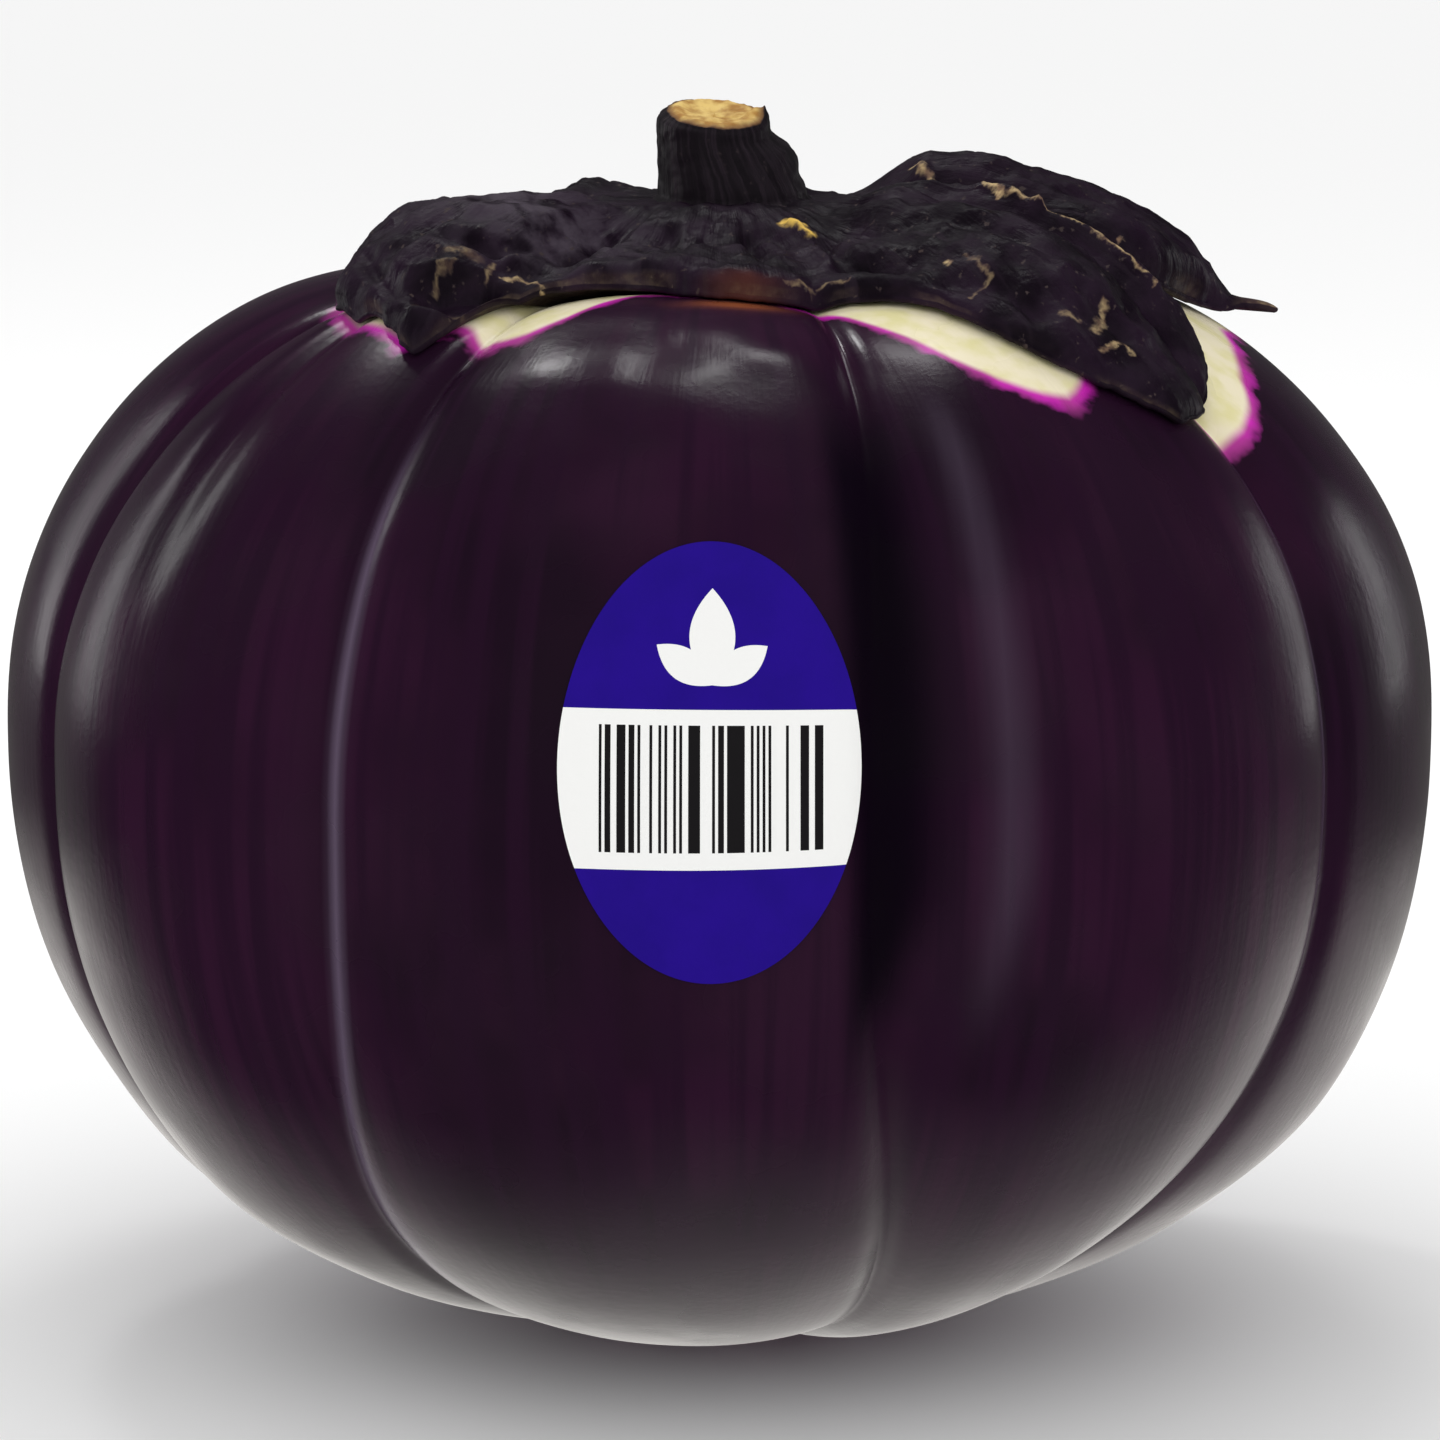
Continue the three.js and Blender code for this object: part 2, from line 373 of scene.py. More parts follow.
def fold_shadow(azimuth, latitude):
    """Painted shade: 1 in the slack fold to the right of the front rib, which narrows towards its
    foot.
    """
    degrees = np.degrees(latitude)
    lower = smooth(-degrees, 0, 18)
    fold = smooth(azimuth, 8.5, 11.5) * (1 - smooth(azimuth, 14 - 4 * lower, 20 - 5 * lower))
    return fold * smooth(degrees, -26, -10) * (1 - smooth(degrees, 36, 52))


def paint_rib_highlights(azimuth, latitude, across_rib):
    """Painted highlight: 1 on each rib's outer edge and beside the fold, pale lines that stand in
    for the reflections there.
    """
    degrees = np.degrees(latitude)
    outer_edge = across_rib * np.sign(azimuth)
    aside = np.abs(azimuth)
    widening = 0.06 * smooth(-degrees, 25, 55)
    painted_highlight = bump(outer_edge, 0.95 - widening, 0.035 + widening) * smooth(aside, 22, 32)
    painted_highlight = painted_highlight * smooth(degrees, -70, -50) * (1 - smooth(degrees, 25, 48))
    painted_highlight = painted_highlight * (1 - 0.6 * smooth(aside, 76, 110))
    lower = smooth(-degrees, 0, 18)
    beside_fold = bump(azimuth, 22.5 - 2 * lower, 1.5) * smooth(degrees, -20, 0)
    return painted_highlight + 0.25 * beside_fold * (1 - smooth(degrees, 38, 50))


def make_fruit():
    steps_per_rib = 40
    rows = 230
    share = np.linspace(-1, 1, steps_per_rib + 1)[:-1]
    crowded = 0.45 * share + 0.55 * np.sin(share * math.pi / 2)
    latitude = np.linspace(-math.pi / 2, math.pi / 2, rows + 2)[1:-1, None]
    columns = []
    for rib in range(ribs):
        start = groove_azimuth(rib, latitude)
        end = groove_azimuth(rib + 1, latitude)
        columns.append(start + (end - start) * (crowded + 1) / 2)
    azimuth = np.concatenate(columns, axis=1)
    latitude = np.broadcast_to(latitude, azimuth.shape)
    across_rib = place_on_rib(azimuth, latitude)
    azimuth = (azimuth + 180) % 360 - 180
    points, _ = skin(azimuth, latitude)
    low_pole = (0, 0, belly_level - base_drop + blossom_dent)
    high_pole = (0, 0, belly_level + crown_rise - dip_depth)
    fruit = swept_mesh("fruit_skin", points, low_pole, high_pole)
    note_grain(fruit, azimuth, latitude, -math.pi / 2, math.pi / 2)

    reach = np.where(latitude > 0, reach_at_latitude(latitude) / MM, past_all_shade)
    past_shade = reach - round_outline(azimuth, shaded_edge) + 0.5 * ripple(points, 5 * MM, 5, 2)
    note_on_mesh(fruit, "past_shade", past_shade, past_all_shade, deep_in_shade)
    note_on_mesh(fruit, "fold", fold_shadow(azimuth, latitude), 0, 0)
    note_on_mesh(fruit, "painted_highlight", paint_rib_highlights(azimuth, latitude, across_rib), 0, 0)
    out = np.hypot(points[..., 0], points[..., 1]) / MM
    note_on_mesh(fruit, "scar", np.where(latitude < 0, bump(out, 0, 3.6), 0), 1, 0)
    note_on_mesh(fruit, "cork", bump(azimuth, 3, 7) * bump(reach, 36.8, 1.5), 0, 0)
    return fruit


def make_skin_finish():
    finish, tree, shader = new_finish("aubergine_skin")
    night = colour(30, 13, 30)
    plum = colour(46, 17, 42)
    clouds = mottle(tree, 30 * MM, 0.35, 0.65)
    streaks = fibres(tree, 26, 0.8, 0.42, 0.62)
    ripe = blend(tree, clouds, night, plum)
    ripe = blend(tree, streaks, ripe, colour(37, 14, 36))
    # Painted shade: the slack fold beside the front rib is darkened.
    ripe = blend(tree, noted(tree, "fold"), ripe, colour(14, 4, 18))
    # Painted highlight: pale lines along the ribs' outer edges and beside the fold.
    ripe = blend(tree, noted(tree, "painted_highlight"), ripe, colour(96, 82, 102))

    past = noted(tree, "past_shade")
    pale = blend(
        tree, mottle(tree, 4 * MM, 0.4, 0.7), colour(238, 228, 198), colour(226, 218, 164)
    )
    magenta = blend(
        tree, mottle(tree, 7 * MM, 0.4, 0.6), colour(212, 36, 188), colour(180, 56, 150)
    )
    fade = figure(tree, "MULTIPLY_ADD", mottle(tree, 3 * MM, 0.3, 0.7), 2.4, 1.9)
    flushed = blend(tree, ranged(tree, past, -1.4, 0.6), pale, magenta)
    skin_colour = blend(tree, ranged(tree, past, 0.1, fade), flushed, ripe)
    cork = blend(tree, noted(tree, "cork"), skin_colour, colour(150, 82, 48))
    rough_scar = mottle(tree, 1.2 * MM, 0.3, 0.6)
    scar_colour = blend(tree, rough_scar, colour(120, 92, 62), colour(70, 46, 40))
    whole = blend(tree, noted(tree, "scar"), cork, scar_colour)

    pores = mottle(tree, 0.9 * MM, 0.35, 0.75)
    relief = figure(tree, "ADD", fibres(tree, 90, 5, 0.3, 0.7), pores)
    complete_finish(
        tree, shader, whole, shine=0.25, dull=(0.22, 0.3), patches=14 * MM,
        relief=relief, strength=0.025, depth=0.4 * MM,
    )
    return finish


fruit = make_fruit()
fruit.data.materials.append(make_skin_finish())
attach(fruit, "root")
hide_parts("fruit")

# ---- Calyx -----------------------------------------------------------------------------
# The leafy cap that held the flower: a thick collar round the stem and six sepals over the
# crown. It has dried since picking, so it is nearly black and crumpled, its sepals arch up
# off the skin, and their torn edges have gone pale.

stem_low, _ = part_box("stem")
pad_level = stem_low.z - 0.3 * MM
pad_radius = 10.1 * MM
collar_slope = 9 * MM
leaf_thickness = 0.8 * MM
leaf_gap = 0.12 * MM
edge_curl_starts = 0.87

# The calyx's edge: azimuth, reach along the skin, and how far the edge has lifted off it, in mm.
calyx_edge = np.array([
    (-84, 34, 0.4), (-78, 38, 0.6), (-71, 42, 0.6), (-64, 45.5, 0.4), (-58, 47.5, 0.3),
    (-51, 49.2, 0.3), (-45, 49.6, 0.3), (-41.5, 51.2, 0.4), (-39, 53.5, 0.3), (-37.4, 54.5, 0.2),
    (-36.4, 50, 0.4), (-35.8, 45, 0.8), (-34.5, 40.5, 1.3), (-31, 36.8, 1.4), (-25, 34, 1.0),
    (-17, 31, 0.4), (-8, 31.5, 0.1), (-2, 34.5, 0.1), (6, 35.5, 0.1), (14, 35, 0.2),
    (22, 36, 0.3), (27, 39.5, 0.4), (31, 43, 0.5), (34, 48.5, 0.5), (36.5, 54, 0.4),
    (39.5, 57.5, 0.3), (42.5, 62, 0.3), (45, 64.5, 0.3), (48, 67, 0.3), (50, 69, 0.2),
    (52, 68.2, 0.4), (55, 67.4, 0.7), (58.5, 65.6, 0.9), (61.5, 62.8, 1.0), (63.4, 60, 1.2),
    (64.6, 57, 1.6), (65.4, 53, 2.2), (66.2, 49, 2.6), (68, 46.2, 2.6), (71, 45.4, 2.4),
    (75, 46.5, 1.8), (79, 49.5, 1.2), (83, 52.5, 0.6), (86, 54.5, 0.6), (88, 57, 1.2),
    (89.2, 60.5, 3.2), (90.2, 63.2, 4.2), (91.2, 61, 3.4), (92.6, 57, 1.2), (95, 54, 0.6),
    (99, 50, 0.6),
    (105, 44, 0.4), (120, 35, 0.2), (129, 42, 0.3), (136, 51, 0.5), (142, 58, 0.8),
    (147, 61, 1.4), (152, 56, 0.8), (158, 48, 0.4), (165, 39, 0.2), (172, 34, 0.2),
    (179, 40, 0.2), (186, 48, 0.5), (191, 54, 0.8), (195, 57, 1.2), (200, 52, 0.6),
    (207, 44, 0.3), (214, 37, 0.2), (220, 34, 0.2), (226, 39, 0.2), (232, 47, 0.4),
    (237, 51, 0.8), (242, 46, 0.4), (250, 38, 0.2), (260, 33, 0.2), (268, 31.5, 0.3),
])

# Each sepal arches up off the skin: azimuth of its midrib, spread to the left and to the right
# in degrees, and its heights in mm at the reaches below.
arch_reaches = (10, 20, 30, 40, 50, 60, 70)
arches = (
    (-60, 34, 34, (11, 10.6, 9.2, 5.8, 3.6, 2.6, 2)),
    (61.5, 31, 6, (11, 12, 10.2, 8.5, 6.4, 3.2, 2)),
    (88, 25, 24, (11.5, 13.5, 11, 8.6, 5.6, 2, 2)),
    (147, 26, 24, (10, 6, 3.5, 3, 2.6, 2.4, 2.4)),
    (195, 24, 24, (9, 5, 2.2, 2, 2.2, 2.2, 2.2)),
    (237, 22, 22, (9, 5.4, 2.2, 1.8, 2, 2.2, 2.2)),
)
collar_heights = (11.2, 6.2, 3.9, 2.6, 1.5, 1.5, 1.5)

# Creases and knobs of the dried cap, each from one place to another in mm to the right of the
# stem and in front of it, along the skin, with its width and its height.
creases = (
    (-27, 25, -23, 27.5, 1.1, -1.3),
    (-23, 27.5, -16, 23.5, 1.1, -1.2),
    (-26, 30, -17.5, 27, 1.3, 0.7),
    (-35.8, 23, -33.6, 34, 1.2, -1.3),
    (-28.4, 35.6, -25, 34.8, 2.4, -5),
    (-30.5, 32.4, -24, 31.6, 1.2, 1.6),
    (-31.5, 39, -26, 39.6, 1.2, 1.3),
    (-16, -8, -11, -11, 2.8, 2.6),
    (15, 27.5, 17.5, 29.5, 2.6, -2.4),
    (19, 21, 30, 27, 1.6, -1.1),
    (24, 34, 33, 39, 1.4, -0.9),
    (22, 16, 34, 21.5, 2.2, -1.0),
    (37.5, 34, 43, 38, 1.5, -1.0),
    (31, 4, 42, 6, 1.8, -0.8),
    (7, 15, 9, 17.5, 1.2, 0.7),
    (19, 4, 23, 10.5, 0.8, 1.0),
    (23, 10.5, 31, 17.3, 0.8, 1.1),
    (31, 17.3, 45.5, 25, 0.8, 0.9),
    (-5, 16, -4, 26, 1.3, -0.9),
    (3, 17, 4.5, 28, 1.5, -0.8),
    (11, 20, 12.5, 27, 1.2, -0.8),
    (-12, 17, -15, 24, 1.4, -0.9),
)

# Torn edges and frayed lines that have dried to straw, written the same way, with a strength
# in place of the height.
frayed_lines = (
    (18.5, 3, 21.7, 8.1, 0.5, 0.8),
    (21.7, 8.1, 27.3, 15.1, 0.4, 1),
    (27.3, 15.1, 34.1, 18.9, 0.35, 0.8),
    (34.1, 18.9, 45, 25, 0.35, 0.7),
    (-29.7, 33.6, -26.4, 31, 0.35, 0.22),
    (-23.8, 32.2, -22.7, 29.4, 0.4, 0.3),
    (-26.7, 29.1, -24.5, 29.7, 1.2, 0.3),
    (-22.1, 30.9, -19.5, 30.5, 0.35, 0.6),
    (-19.5, 30.5, -16.1, 33, 0.3, 0.6),
    (-31.2, 36.5, -27.2, 36.8, 1.2, 0.12),
    (-28.7, 40.3, -25.5, 38.5, 0.9, 0.5),
    (-25.5, 38.5, -24.7, 36.6, 0.6, 0.5),
    (-13.9, 31.9, -10.9, 32.7, 0.5, 0.4),
    (22.7, 30.7, 23.1, 31.1, 0.6, 0.9),
    (24.3, 30.5, 27.4, 34.4, 0.4, 0.3),
    (27.4, 34.4, 25.8, 37.5, 0.4, 0.3),
    (39.9, 34.1, 40.2, 37.5, 0.7, 0.5),
    (40.2, 37.5, 39.7, 39.7, 1.0, 0.5),
    (35.7, 38.9, 37.5, 38.8, 0.8, 0.35),
    (40.8, 42.3, 42.9, 39.3, 0.6, 0.7),
    (42.9, 39.3, 44.1, 40.4, 0.6, 0.6),
    (41.7, 21.7, 47.1, 14.4, 0.9, 0.5),
    (47.1, 14.4, 51.8, 13.4, 0.9, 0.4),
    (41, 12.5, 41.2, 12.7, 0.4, 1),
    (7, 33.4, 13, 32.4, 0.4, 0.3),
)

# A graze that dried to gold, written as the frayed lines are.
golden_scar = ((6.4, 14.6, 7.8, 15.6, 0.9, 1), (7.8, 15.6, 8.8, 17.4, 0.7, 1))

# Azimuth and spread, in degrees, of the scorched brown patch in front, and of the grey patch on the
# cap's left that is a painted highlight.
scorched = (4, 6)
painted_sheen_patch = (-48, 26)


def stroke(flat, start, end, width):
    """1 along the line from start to end, and 0 a little beyond its width."""
    start = np.array(start) * MM
    run = np.array(end) * MM - start
    share = np.clip(((flat - start) @ run) / (run @ run), 0, 1)
    near = flat - start - share[..., None] * run
    return np.exp(-(near**2).sum(axis=-1) / (width * MM) ** 2)


def edge_all_round(columns):
    """The calyx's edge at even steps along its outline: azimuth, reach and lift, smoothed."""
    first = calyx_edge[0] + np.array([360, 0, 0])
    outline = np.concatenate([calyx_edge, first[None]])
    angle = np.radians(outline[:, 0])
    flat = np.stack([outline[:, 1] * np.sin(angle), outline[:, 1] * np.cos(angle)], -1)
    run = np.concatenate([[0], np.cumsum(np.linalg.norm(np.diff(flat, axis=0), axis=-1))])
    even = np.linspace(0, run[-1], columns + 1)[:-1]
    edge = np.stack([np.interp(even, run, outline[:, i]) for i in range(3)], -1)
    turn = np.array([360, 0, 0])
    for _ in range(3):
        ahead = np.concatenate([edge[1:], edge[:1] + turn])
        behind = np.concatenate([edge[-1:] - turn, edge[:-1]])
        edge = (behind + 2 * edge + ahead) / 4
    return edge


def calyx_height(azimuth, reach):
    """Height of the cap above the skin, in mm, before its edge turns down."""
    reaches = np.array(arch_reaches)
    total = np.interp(reach / MM, reaches, collar_heights) ** 5
    for midrib, left, right, heights in arches:
        away = (azimuth - midrib + 180) % 360 - 180
        away = np.where(away < 0, away / left, away / right)
        fall = np.clip(1 - np.abs(away) ** 2.4, 0, 1)
        total = total + (np.interp(reach / MM, reaches, heights) * fall) ** 5
    return total**0.2


def shrivel(azimuth, reach, ground, flat, height):
    """What drying has added to the cap's height, in mm: folds, crumples, grit and creases."""
    along_veins = np.stack([reach / (11 * MM), azimuth / 6.5, 0 * reach], -1)
    folds = ripple(along_veins, 1, 21, 2)
    crumple = 0.8 * (0.3 - np.abs(ripple(ground, 5 * MM, 22, 2)))
    detail = (folds + crumple) * smooth(height, 1.2, 4.5)
    detail = detail + 0.12 * ripple(ground, 1.1 * MM, 23, 2)
    for right, front, right_end, front_end, width, rise in creases:
        detail = detail + rise * stroke(flat, (right, front), (right_end, front_end), width)
    return detail


def calyx_top(azimuth, reach, reach_out, lift, around):
    """The cap's upper face. Also its edge's height, the skin below, and the edge's way out."""
    ground, out = skin(azimuth, latitude_at_reach(reach))
    height = calyx_height(azimuth, reach)
    detail = shrivel(azimuth, reach, ground, reach[..., None] * around[..., :2], height)
    lowest = leaf_thickness + lift * smooth(reach / reach_out, edge_curl_starts, 1)
    full = np.maximum((height + detail) * MM, lowest)
    at_edge = leaf_thickness + lift
    rounding = 2.6 + 5 * bump(azimuth, -74, 18) + 2.4 * bump(azimuth, 62, 16)
    inward = np.clip((reach_out - reach) / (rounding * MM), 0, 1)
    top_height = at_edge + (full - at_edge) * np.sqrt(1 - (1 - inward) ** 2)
    top = ground + out * top_height[..., None]
    collar = (pad_level + 0.6 * MM * ripple(ground, 3 * MM, 24, 2))[..., None]
    slope = smooth(reach, pad_radius, pad_radius + collar_slope)[..., None]
    top[..., 2:] = collar + (top[..., 2:] - collar) * slope
    return top, top_height[-1], ground, out[-1]


def calyx_rim(ground, out, around, upper, lower, rows):
    """The cap's rounded rim, from its upper face over to its underside."""
    away = np.stack([around[0, :, 0], -around[0, :, 1], -0.4 + 0 * around[0, :, 0]], -1)
    rim = []
    for row in range(1, rows + 1):
        turn = math.pi * row / (rows + 1)
        level = lower + (upper - lower) * (1 + math.cos(turn)) / 2
        bulge = (upper - lower) / 2 * math.sin(turn)
        rim.append(ground + out * level[:, None] + away * bulge[:, None])
    return np.array(rim)


def calyx_underside(azimuth, reach, reach_out, lift):
    """The cap's underside, just off the skin and lifted with the edge."""
    ground, out = skin(azimuth, latitude_at_reach(reach))
    height = leaf_gap + lift * smooth(reach / reach_out, edge_curl_starts, 1)
    return ground + out * height[..., None]


def note_leaf_colours(calyx, azimuth, reach, from_edge, ground, rim_rows, under_rows):
    """Stores where the cap is dry or scorched, and where a painted highlight greys its top on the
    left. Its rim follows its upper face's edge.
    """
    dry = 0.08 * (1 - smooth(from_edge, 0.1, 0.5)) * np.clip(ripple(ground, 5 * MM, 33) * 3, 0, 1)
    dry = dry + 0.3 * bump(azimuth, 90, 3) * smooth(reach, 57 * MM, 61 * MM)
    burnt = 0.8 * bump(azimuth, *scorched) * smooth(reach, 32.5 * MM, 34.5 * MM)
    # Painted highlight: the top of the left sepal turned lighter grey.
    painted_sheen = bump(azimuth, *painted_sheen_patch) * bump(reach, 25 * MM, 9 * MM)
    shades = (("dry", dry, 0.1, 0.05), ("burnt", burnt, 1, 0), ("painted_sheen", painted_sheen, 0, 0))
    for name, top, rim_share, below in shades:
        rim = np.broadcast_to(rim_share * top[-1], (rim_rows, top.shape[1]))
        under = np.full((under_rows, top.shape[1]), below)
        note_on_mesh(calyx, name, np.concatenate([top, rim, under])[::-1], 0, 0)


def make_calyx():
    columns = 720
    top_rows = 104
    rim_rows = 6
    under_rows = 14
    edge = edge_all_round(columns)
    azimuth = edge[None, :, 0]
    around = np.stack([np.sin(np.radians(azimuth)), np.cos(np.radians(azimuth)), 0 * azimuth], -1)
    place = around * edge[None, :, 1:2]
    ragged = 0.9 * ripple(place, 6, 11, 3) + 0.4 * ripple(place, 1.6, 12, 2)
    reach_out = (edge[None, :, 1] + ragged) * MM
    lift = edge[None, :, 2] * MM

    share = np.linspace(0, 1, top_rows)[:, None] ** 0.85
    reach = pad_radius + (reach_out - pad_radius) * share
    wide = np.broadcast_to(azimuth, reach.shape)
    top, upper, ground, edge_out = calyx_top(wide, reach, reach_out, lift, around)
    rim = calyx_rim(ground[-1], edge_out, around, upper, leaf_gap + lift[0], rim_rows)
    back = np.linspace(1, 0, under_rows)[:, None]
    under_reach = 2 * MM + (reach_out - 2 * MM) * back
    under_wide = np.broadcast_to(azimuth, under_reach.shape)
    under = calyx_underside(under_wide, under_reach, reach_out, lift)
    rings = np.concatenate([top, rim, under])[::-1]
    low_pole = (0, 0, belly_level + crown_rise - dip_depth + leaf_gap)
    calyx = swept_mesh("calyx_leaf", rings, low_pole, (0, 0, pad_level))

    from_edge = (reach_out - reach) / MM
    note_leaf_colours(calyx, wide, reach, from_edge, ground, rim_rows, under_rows)
    rim_reach = np.broadcast_to(reach[-1], (rim_rows, columns))
    spread = np.concatenate([reach, rim_reach, 0 * under_reach])[::-1] / MM
    note_on_mesh(calyx, "right_of_stem", spread * around[..., 0], 0, 0)
    note_on_mesh(calyx, "front_of_stem", spread * around[..., 1], 0, 0)
    along = np.concatenate([share + 0 * wide, np.ones((rim_rows, columns)), back + 0 * under_wide])
    note_grain(calyx, np.broadcast_to(azimuth, along.shape), along[::-1], 0, 0)
    return calyx


def make_line_group():
    """A frayed line on the cap: 1 along it from Start to End, and 0 past its Width."""
    inputs = {"Place": None, "Start": None, "End": None, "Width": 0.5}
    tree, given, out = shader_group("frayed_line", inputs)
    start = given.outputs["Start"]
    run = arrow(tree, "SUBTRACT", given.outputs["End"], start)
    off = arrow(tree, "SUBTRACT", given.outputs["Place"], start)
    along = arrow(tree, "DOT_PRODUCT", off, run, result="Value")
    whole = arrow(tree, "DOT_PRODUCT", run, run, result="Value")
    share = figure(tree, "DIVIDE", along, whole, clamp=True)
    nearest = shader_node(tree, "VectorMath", {0: run, "Scale": share}, operation="SCALE")
    away = arrow(tree, "DISTANCE", off, nearest.outputs["Vector"], result="Value")
    tree.links.new(ranged(tree, away, 0, given.outputs["Width"], 1, 0), out.inputs["Mask"])
    return tree


line_group = make_line_group()


def frayed(tree, lines):
    """Mask of several frayed lines, wandering and broken up."""
    inputs = {0: noted(tree, "right_of_stem"), 1: noted(tree, "front_of_stem")}
    place = shader_node(tree, "CombineXYZ", inputs).outputs[0]
    inputs = {"Vector": place, "Scale": 0.7, "Detail": 3.0}
    drift = shader_node(tree, "TexNoise", inputs, noise_dimensions="2D").outputs["Color"]
    centred = arrow(tree, "SUBTRACT", drift, (0.5, 0.5, 0))
    place = arrow(tree, "ADD", place, arrow(tree, "MULTIPLY", centred, (1.5, 1.5, 0)))
    total = 0.0
    for right, front, right_end, front_end, width, strength in lines:
        inputs = {
            "Place": place,
            "Start": (right, front, 0),
            "End": (right_end, front_end, 0),
            "Width": width,
        }
        line = shader_node(tree, "Group", inputs, node_tree=line_group).outputs[0]
        total = figure(tree, "MAXIMUM", total, figure(tree, "MULTIPLY", line, strength))
    return figure(tree, "MULTIPLY", total, mottle(tree, 1.3 * MM, 0.26, 0.46))


def make_leaf_finish():
    finish, tree, shader = new_finish("dried_calyx")
    leaf = blend(tree, mottle(tree, 6 * MM, 0.35, 0.65), colour(22, 9, 24), colour(38, 19, 40))
    leaf = blend(tree, fibres(tree, 30, 2.5, 0.55, 0.7), leaf, colour(38, 25, 39))
    # Painted highlight: the left sepal's top made lighter and greyer.
    grey = figure(tree, "MULTIPLY", noted(tree, "painted_sheen"), mottle(tree, 3 * MM, 0.3, 0.6))
    leaf = blend(tree, grey, leaf, colour(74, 64, 76))
    leaf = blend(tree, mottle(tree, 0.9 * MM, 0.64, 0.74), leaf, colour(66, 54, 54))
    leaf = blend(tree, noted(tree, "burnt"), leaf, colour(84, 38, 28))
    husk = blend(
        tree, mottle(tree, 1.2 * MM, 0.35, 0.65), colour(206, 178, 128), colour(128, 100, 78)
    )
    lines = frayed(tree, frayed_lines)
    leaf = blend(tree, lines, leaf, husk)
    leaf = blend(tree, frayed(tree, golden_scar), leaf, colour(226, 186, 84))
    leaf = blend(tree, noted(tree, "dry"), leaf, husk)
    crust = figure(tree, "ADD", fibres(tree, 90, 10, 0.3, 0.7), mottle(tree, 0.8 * MM, 0.3, 0.7))
    relief = figure(tree, "ADD", crust, lines)
    complete_finish(
        tree, shader, leaf, shine=0.18, dull=(0.42, 0.66), patches=3 * MM,
        relief=relief, strength=0.2, depth=0.25 * MM,
    )
    return finish


calyx = make_calyx()
calyx.data.materials.append(make_leaf_finish())
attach(calyx, "root")
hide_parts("calyx")

# ---- Stem ------------------------------------------------------------------------------
# The stub of the woody stalk, cut with a knife when the fruit was picked. Its bark is dark
# and finely ribbed, with a knob on its right side, and its cut face has dried to straw.

stem_foot = stem_low.z - 1.2 * MM
stem_height = 9.6 * MM
foot_radius = 7.7 * MM
top_radius = 5.8 * MM
foot_offset = 1.4 * MM
top_offset = -0.6 * MM
cut_rise_to_back = 0.2
cut_drop_to_right = 0.08
foot_flare = 1.3 * MM
knob_height = 1.3 * MM
spur_height = 1.5 * MM
rim_wear = 0.9 * MM


def stem_side(azimuth, level):
    """Points of the bark, from the foot at level 0 to the cut rim at 1."""
    angle = np.radians(azimuth)
    taper = smooth(level, 0.12, 0.95)
    knob = bump(azimuth, 88, 42) * smooth(level, 0.3, 0.62) * (1 - smooth(level, 0.68, 0.84))
    bark = 0.06 * np.sin(13 * angle + 2 * np.sin(3 * angle)) + 0.03 * np.sin(41 * angle)
    worn = smooth(level, 0.9, 1) ** 2 * (0.4 + 0.6 * bump(azimuth, 270, 60))
    radius = foot_radius + (top_radius - foot_radius) * taper
    radius = radius + foot_flare * (1 - smooth(level, 0, 0.16))
    radius = radius + knob_height * knob - rim_wear * worn
    radius = radius + bark * MM * smooth(level, 0.02, 0.2)
    centre = foot_offset + (top_offset - foot_offset) * taper
    x = centre + radius * np.sin(angle)
    y = -radius * np.cos(angle)
    lean = (cut_rise_to_back * y - cut_drop_to_right * x) * level
    spur = spur_height * bump(azimuth, 84, 12) * smooth(level, 0.8, 1)
    z = stem_foot + level * stem_height + lean + spur
    side = np.stack(np.broadcast_arrays(x, y, z), -1)
    return side + 0.12 * MM * ripple(side, 1.5 * MM, 41, 2)[..., None]


def stem_cut(azimuth, rim, middle, inward):
    """Points of the cut face, with a hump inside the rim and a hollow pith."""
    cut = middle + (rim - middle) * inward[..., None]
    hump = 0.35 * bump(inward, 0.78, 0.12) - 0.3 * bump(inward, 0, 0.4)
    cut[..., 2] += (hump + 0.25 * ripple(cut, 1.8 * MM, 42, 3)) * MM
    cut[..., 2] -= spur_height * bump(azimuth, 84, 12) * (1 - inward)
    return cut


def make_stem():
    columns = 144
    side_rows = 60
    cut_rows = 26
    azimuth = np.linspace(0, 360, columns + 1)[None, :-1]
    level = np.linspace(0, 1, side_rows)[:, None]
    inward = np.linspace(1, 0, cut_rows + 2)[1:-1, None]
    side = stem_side(azimuth, level)
    middle = side[-1].mean(axis=0)
    rings = np.concatenate([side, stem_cut(azimuth, side[-1], middle, inward)])
    stem = swept_mesh("stem_stub", rings, (foot_offset, 0, stem_foot), tuple(middle))

    on_side = np.ones((side_rows, columns))
    on_cut = np.ones((cut_rows, columns))
    note_on_mesh(stem, "cut_face", np.concatenate([0 * on_side, on_cut]), 0, 1)
    note_on_mesh(stem, "from_pith", np.concatenate([on_side, inward * on_cut]), 1, 0)
    along = np.concatenate([level * on_side, inward * on_cut])
    note_grain(stem, np.broadcast_to(azimuth, along.shape), along, 0, 0)
    stem.data.set_sharp_from_angle(angle=math.radians(50))
    return stem


